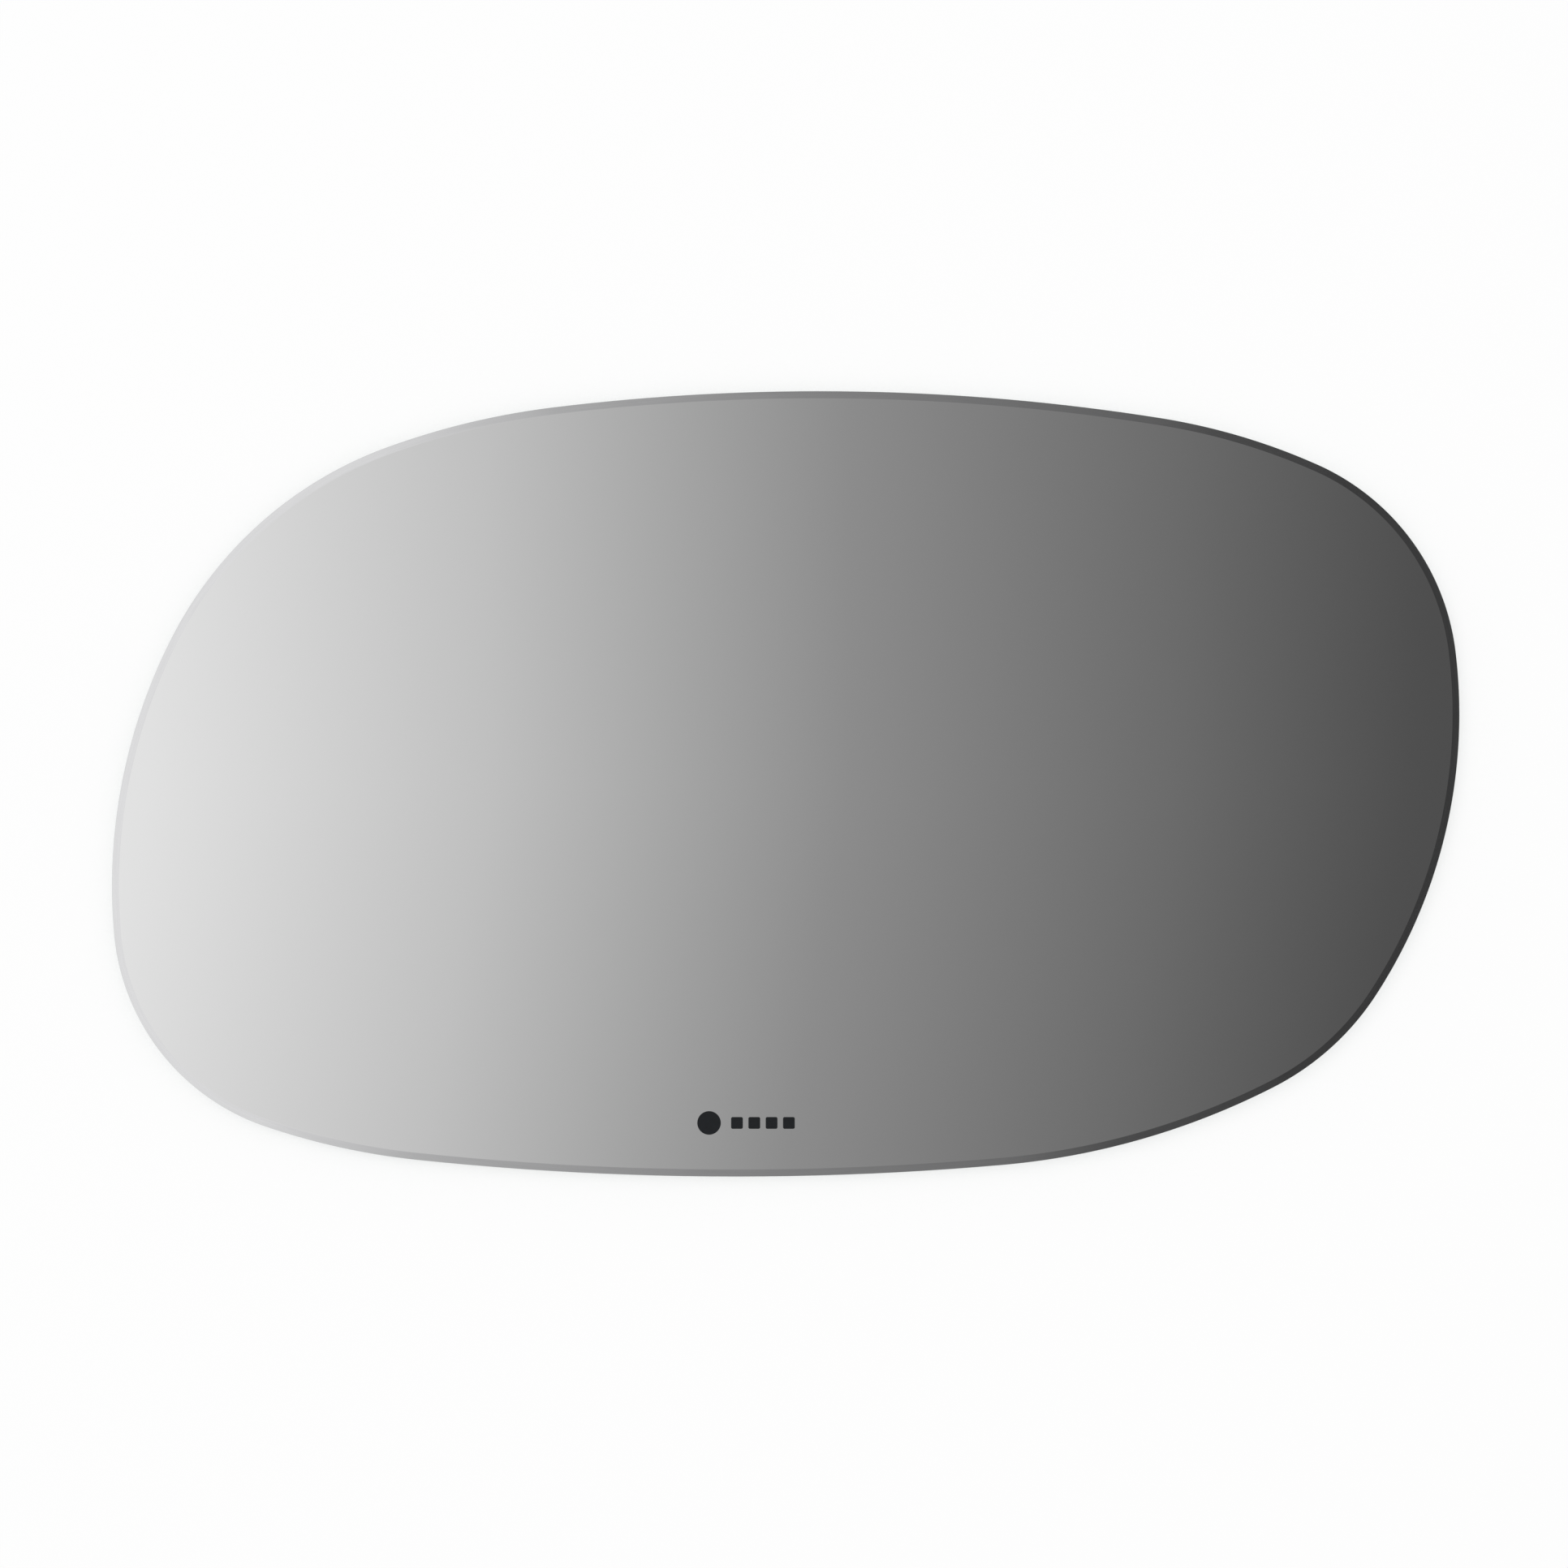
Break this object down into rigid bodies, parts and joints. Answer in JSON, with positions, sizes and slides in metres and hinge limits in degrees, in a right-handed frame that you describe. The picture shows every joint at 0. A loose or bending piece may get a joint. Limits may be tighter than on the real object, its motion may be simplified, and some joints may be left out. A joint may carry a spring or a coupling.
{
  "type": "car door mirror glass",
  "caption": "Flat replacement glass for a car door mirror: silvered sheet glass cut to a lopsided rounded oval, with a ground and seamed edge.",
  "frame": {"origin": "middle of the glass's bounding box, on its back face, which lies on the ground", "axes": "+X to the right and +Y up as one looks into the mirror, +Z out of the mirror face"},
  "size_m": [0.1714, 0.1, 0.0022],
  "materials": {
    "mirror": "silvered float glass, polished face",
    "ink": "dark printed ink, satin"
  },
  "bodies": {
    "root": {"mirror_glass": "mirror"}
  },
  "joints": []
}
